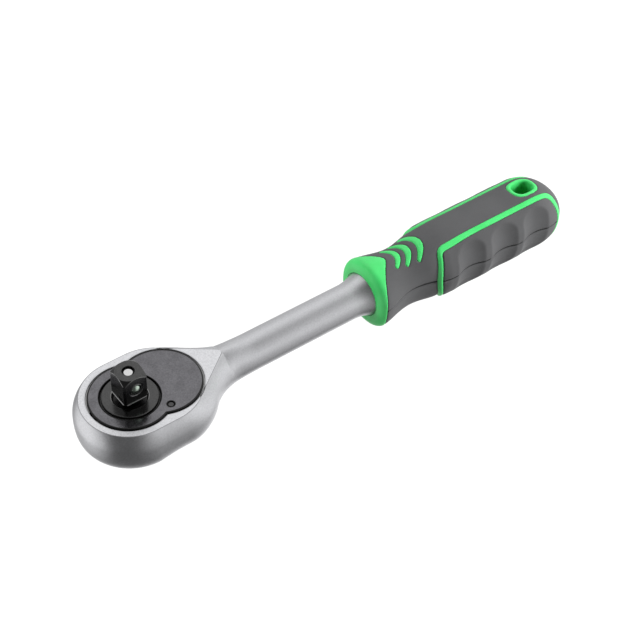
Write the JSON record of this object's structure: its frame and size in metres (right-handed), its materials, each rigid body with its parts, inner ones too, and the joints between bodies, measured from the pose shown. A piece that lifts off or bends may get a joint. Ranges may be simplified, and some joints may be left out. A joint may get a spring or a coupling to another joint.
{
  "type": "ratchet handle",
  "caption": "Reversible ratchet handle with a pear-shaped head, square drive with quick release, round shank and a soft two-colour grip with a hang hole.",
  "frame": {"origin": "on the drive axis, in the plane of the head's machined face", "axes": "+Z along the drive square, +X along the handle towards the grip"},
  "size_m": [0.149, 0.0272, 0.0241],
  "materials": {
    "body_steel": "satin chrome plate on forged steel, brighter on the machined face",
    "plate_steel": "flat ground steel, grey",
    "drive_steel": "dark hardened steel, fine turned and ground marks",
    "bright_steel": "polished hardened steel",
    "spring_steel": "drawn spring wire",
    "pawl_steel": "sintered steel, oiled",
    "lever_black": "black satin coat",
    "seal_rubber": "smooth black rubber",
    "core_green": "moulded green polypropylene, satin to glossy",
    "grip_rubber": "matt dark grey soft rubber"
  },
  "bodies": {
    "handle": {"ratchet_body": "body_steel", "cover_plate": "plate_steel", "plate_snap_ring": "spring_steel", "cover_pin": "bright_steel", "lever_snap_ring": "spring_steel", "grip_core": "core_green", "grip_sleeve": "grip_rubber", "side_pad_right": "grip_rubber", "side_pad_left": "grip_rubber"},
    "drive": {"drive_gear": "drive_steel", "drive_o_ring": "seal_rubber", "button_clip": "spring_steel", "release_spring": "spring_steel"},
    "release": {"release_button": "bright_steel", "release_pin": "bright_steel"},
    "ball": {"detent_ball": "bright_steel"},
    "pawl": {"pawl": "pawl_steel"},
    "lever": {"reversing_lever": "lever_black", "lever_o_ring": "seal_rubber", "plunger_spring": "spring_steel"},
    "plunger": {"lever_plunger": "bright_steel"}
  },
  "joints": [
    {"name": "drive_spin", "type": "hinge", "parent": "handle", "child": "drive", "pos_m": [0, 0, 0], "axis": [0, 0, 1], "continuous": true},
    {"name": "release_push", "type": "slide", "parent": "drive", "child": "release", "axis": [0, 0, 1], "range_m": [0, 0.0016], "stiffness_N_per_m": 1000, "springref_m": -0.0015, "deforming": ["release_spring"]},
    {"name": "ball_retract", "type": "slide", "parent": "drive", "child": "ball", "axis": [0, 1, 0], "range_m": [0, 0.0005]},
    {"name": "lever_turn", "type": "hinge", "parent": "handle", "child": "lever", "pos_m": [0.01535, 0, 0], "axis": [0, 0, 1], "range_deg": [-50, 0]},
    {"name": "pawl_rock", "type": "hinge", "parent": "handle", "child": "pawl", "pos_m": [0.0084, 0, 0], "axis": [0, 0, 1], "range_deg": [0, 9]},
    {"name": "plunger_slide", "type": "slide", "parent": "lever", "child": "plunger", "axis": [0.9063, 0.4226, 0], "range_m": [0, 0.00035], "stiffness_N_per_m": 300, "springref_m": -0.001, "deforming": ["plunger_spring"]}
  ],
  "couplings": [
    {"joint": "ball_retract", "follows": "release_push", "ratio": 0.3125},
    {"joint": "pawl_rock", "follows": "lever_turn", "ratio": -0.18}
  ]
}
